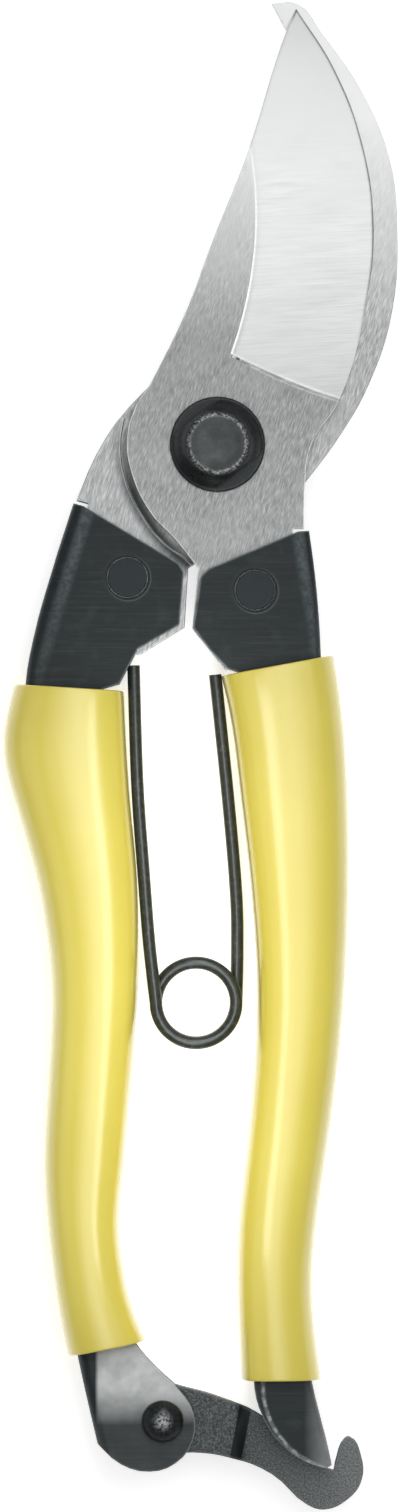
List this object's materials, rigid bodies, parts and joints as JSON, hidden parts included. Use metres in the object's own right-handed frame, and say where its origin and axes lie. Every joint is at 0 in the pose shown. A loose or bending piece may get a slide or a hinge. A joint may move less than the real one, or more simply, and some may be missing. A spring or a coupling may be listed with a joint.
{
  "type": "bypass pruning shears",
  "caption": "Bypass pruning shears: curved cutting and hooked counter blades, domed pivot nut, dark pressed handles in yellow dipped grips, hairpin spring and hook latch.",
  "frame": {"origin": "on the main pivot's axis, in the back face of the pivot bolt's head, which is also the level the shears lie on", "axes": "+X across the handles towards the handle of the cutting blade, +Y from the handles to the blade tips, +Z along the pivot out of the nut"},
  "size_m": [0.0529, 0.2012, 0.0152],
  "materials": {
    "blade_steel": "satin brushed, ground bright on the bevel",
    "blackened_steel": "blackened steel, worn at the rims",
    "slate_paint": "satin slate paint, worn at the edges",
    "yellow_vinyl": "glossy dipped vinyl",
    "spring_steel": "dark oiled spring wire",
    "latch_steel": "dark forged steel"
  },
  "bodies": {
    "left_lever": {"counter_blade": "blade_steel", "left_handle": "slate_paint", "left_grip": "yellow_vinyl", "left_tang_rivet": "slate_paint", "pivot_bolt": "blackened_steel", "pivot_washer": "blackened_steel", "pivot_nut": "blackened_steel", "latch_rivet": "blackened_steel", "latch_washer": "blackened_steel"},
    "right_lever": {"cutting_blade": "blade_steel", "right_handle": "slate_paint", "right_grip": "yellow_vinyl", "right_tang_rivet": "slate_paint"},
    "spring_left": {"spring_left_arm": "spring_steel"},
    "spring_right": {"spring_right_arm": "spring_steel"},
    "latch": {"latch": "latch_steel"}
  },
  "joints": [
    {"name": "handles_open", "type": "hinge", "parent": "left_lever", "child": "right_lever", "pos_m": [0, 0, 0.0083], "axis": [0, 0, 1], "range_deg": [0, 27]},
    {"name": "spring_left_turn", "type": "hinge", "parent": "left_lever", "child": "spring_left", "pos_m": [-0.0112, -0.0294, 0.0072], "axis": [0, 0, 1], "range_deg": [0, 13.6]},
    {"name": "spring_right_turn", "type": "hinge", "parent": "spring_left", "child": "spring_right", "pos_m": [-0.00285, -0.0744, 0.0068], "axis": [0, 0, 1], "range_deg": [-18, 0]},
    {"name": "latch_swing", "type": "hinge", "parent": "left_lever", "child": "latch", "pos_m": [-0.0073, -0.13, 0.0074], "axis": [0, 0, 1], "range_deg": [-95, 0]}
  ],
  "couplings": [
    {"joint": "spring_left_turn", "follows": "handles_open", "ratio": 0.5},
    {"joint": "spring_right_turn", "follows": "handles_open", "ratio": -0.66}
  ]
}
